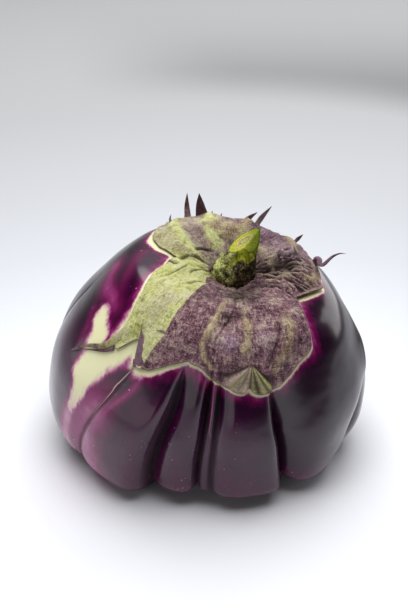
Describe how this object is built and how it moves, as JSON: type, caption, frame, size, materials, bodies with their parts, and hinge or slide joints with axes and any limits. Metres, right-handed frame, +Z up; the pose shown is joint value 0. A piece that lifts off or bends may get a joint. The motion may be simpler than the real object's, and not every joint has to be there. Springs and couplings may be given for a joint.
{
  "type": "eggplant",
  "caption": "Squat, deeply ribbed violet eggplant with a spiny calyx cap and a short cut stalk, resting on its flattened foot.",
  "frame": {"origin": "middle of the flat spot on the foot that the fruit rests on", "axes": "+Z up from the resting surface towards the stalk, -Y towards the deeply ribbed side with the largest sepal, +X to that side's right"},
  "size_m": [0.1175, 0.1112, 0.0876],
  "materials": {
    "skin": "smooth waxy skin, near-black violet with magenta and cream where the calyx shaded it",
    "calyx": "dull, finely wrinkled sepals, mauve-brown with yellow-green ribs and one yellow-green side",
    "stalk": "knobbly dark green bark, moist yellow-green cut face"
  },
  "bodies": {
    "root": {"fruit": "skin", "calyx": "calyx", "stalk": "stalk"}
  },
  "joints": []
}
